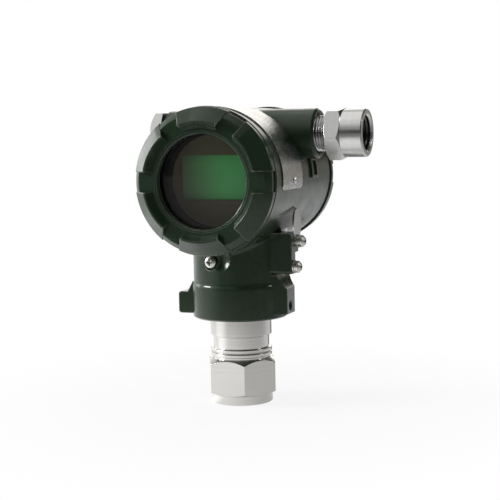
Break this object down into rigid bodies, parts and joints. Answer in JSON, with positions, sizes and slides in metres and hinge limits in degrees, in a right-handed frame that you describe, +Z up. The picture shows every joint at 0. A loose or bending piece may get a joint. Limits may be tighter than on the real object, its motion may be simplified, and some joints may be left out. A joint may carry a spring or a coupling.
{
  "type": "pressure transmitter",
  "caption": "Pressure transmitter: round housing with a lobed window cover, conduit entries and a nameplate strap, on a turned steel sensor body with a hexagon and threaded port.",
  "frame": {"origin": "centre of the process port's foot face, where the transmitter meets its process fitting", "axes": "+Z up the neck axis, away from the process fitting; +X towards the conduit adapter; -Y towards the display, +Y towards the rear cover"},
  "size_m": [0.1242, 0.1208, 0.1647],
  "materials": {
    "stainless": "turned",
    "polished_steel": "polished",
    "plated_steel": "plated",
    "green_paint": "gloss paint",
    "seal_rubber": "matte",
    "potting": "matte",
    "lead_sheath": "satin",
    "moulded_black": "satin",
    "face_print": "satin",
    "circuit_board": "satin",
    "lcd": "gloss",
    "window_glass": "clear"
  },
  "bodies": {
    "sensor": {"sensor_body": "stainless", "isolating_diaphragm": "stainless", "pressure_capsule": "stainless", "capsule_ring": "stainless", "stem_header": "potting", "neck_seal": "seal_rubber"},
    "housing": {"housing_casting": "green_paint", "sensor_lead": "lead_sheath", "feedthrough": "potting", "electronics_cup": "moulded_black", "main_board": "circuit_board", "display_board": "circuit_board", "lcd_panel": "lcd", "display_bezel": "moulded_black", "face_film": "face_print", "display_screws": "plated_steel", "terminal_block": "moulded_black", "terminal_clamps": "plated_steel", "terminal_screws": "plated_steel", "nameplate": "polished_steel", "nameplate_rivets": "polished_steel", "conduit_adapter": "polished_steel"},
    "front_seal": {"front_cover_seal": "seal_rubber"},
    "front_cover": {"front_cover": "green_paint", "front_glass": "window_glass", "glass_gasket": "seal_rubber", "glass_ring": "polished_steel"},
    "rear_seal": {"rear_cover_seal": "seal_rubber"},
    "rear_cover": {"rear_cover": "green_paint"},
    "plug_seal": {"plug_seal": "seal_rubber"},
    "plug": {"blanking_plug": "polished_steel"},
    "tag_plate": {"tag_plate": "polished_steel"},
    "tag_washers": {"tag_washers": "plated_steel"},
    "tag_screw": {"tag_screw": "plated_steel"},
    "ground_washers": {"ground_washers": "plated_steel"},
    "ground_screw": {"ground_screw": "plated_steel"},
    "front_lock_washer": {"front_lock_washer": "plated_steel"},
    "front_lock_screw": {"front_lock_screw": "plated_steel"},
    "rear_lock_washer": {"rear_lock_washer": "plated_steel"},
    "rear_lock_screw": {"rear_lock_screw": "plated_steel"},
    "rotation_set_screw": {"rotation_set_screw": "plated_steel"}
  },
  "joints": [
    {"name": "housing_turn", "type": "hinge", "parent": "sensor", "child": "housing", "pos_m": [0, 0, 0.06], "axis": [0, 0, 1], "range_deg": [-180, 180]},
    {"name": "front_cover_lift", "type": "slide", "parent": "housing", "child": "front_seal", "axis": [0, -1, 0], "range_m": [0, 0.0075]},
    {"name": "front_cover_turn", "type": "hinge", "parent": "front_seal", "child": "front_cover", "pos_m": [0, -0.045, 0.1254], "axis": [0, -1, 0], "range_deg": [0, 1800]},
    {"name": "rear_cover_lift", "type": "slide", "parent": "housing", "child": "rear_seal", "axis": [0, 1, 0], "range_m": [0, 0.0075]},
    {"name": "rear_cover_turn", "type": "hinge", "parent": "rear_seal", "child": "rear_cover", "pos_m": [0, 0.0495, 0.1254], "axis": [0, 1, 0], "range_deg": [0, 1800]},
    {"name": "plug_lift", "type": "slide", "parent": "housing", "child": "plug_seal", "axis": [-1, 0, 0], "range_m": [0, 0.009]},
    {"name": "plug_turn", "type": "hinge", "parent": "plug_seal", "child": "plug", "pos_m": [-0.0447, 0.0103, 0.149], "axis": [-1, 0, 0], "range_deg": [0, 2160]},
    {"name": "tag_swing", "type": "hinge", "parent": "housing", "child": "tag_plate", "pos_m": [0.0356, -0.005, 0.0909], "axis": [1, 0, 0], "range_deg": [-150, 110]},
    {"name": "tag_screw_lift", "type": "slide", "parent": "housing", "child": "tag_washers", "axis": [1, 0, 0], "range_m": [0, 0.0042]},
    {"name": "tag_screw_turn", "type": "hinge", "parent": "tag_washers", "child": "tag_screw", "pos_m": [0.0385, -0.005, 0.0909], "axis": [1, 0, 0], "range_deg": [0, 2160]},
    {"name": "ground_screw_lift", "type": "slide", "parent": "housing", "child": "ground_washers", "axis": [1, 0, 0], "range_m": [0, 0.0042]},
    {"name": "ground_screw_turn", "type": "hinge", "parent": "ground_washers", "child": "ground_screw", "pos_m": [0.0375, -0.0091, 0.0773], "axis": [1, 0, 0], "range_deg": [0, 2160]},
    {"name": "front_lock_lift", "type": "slide", "parent": "housing", "child": "front_lock_washer", "axis": [0, -1, 0], "range_m": [0, 0.0042]},
    {"name": "front_lock_turn", "type": "hinge", "parent": "front_lock_washer", "child": "front_lock_screw", "pos_m": [-0.0075, -0.024, 0.0805], "axis": [0, -1, 0], "range_deg": [0, 2160]},
    {"name": "rear_lock_lift", "type": "slide", "parent": "housing", "child": "rear_lock_washer", "axis": [0, 1, 0], "range_m": [0, 0.0042]},
    {"name": "rear_lock_turn", "type": "hinge", "parent": "rear_lock_washer", "child": "rear_lock_screw", "pos_m": [0.0075, 0.024, 0.0805], "axis": [0, 1, 0], "range_deg": [0, 2160]},
    {"name": "rotation_set_screw_turn", "type": "hinge", "parent": "housing", "child": "rotation_set_screw", "pos_m": [0.0187, -0.001, 0.0548], "axis": [1, 0, 0], "range_deg": [0, 720]}
  ],
  "couplings": [
    {"joint": "front_cover_lift", "follows": "front_cover_turn", "m_per_rad": 0.00023873},
    {"joint": "rear_cover_lift", "follows": "rear_cover_turn", "m_per_rad": 0.00023873},
    {"joint": "plug_lift", "follows": "plug_turn", "m_per_rad": 0.00023873},
    {"joint": "tag_screw_turn", "follows": "tag_screw_lift", "rad_per_m": 8976},
    {"joint": "ground_screw_turn", "follows": "ground_screw_lift", "rad_per_m": 8976},
    {"joint": "front_lock_turn", "follows": "front_lock_lift", "rad_per_m": 8976},
    {"joint": "rear_lock_turn", "follows": "rear_lock_lift", "rad_per_m": 8976}
  ]
}
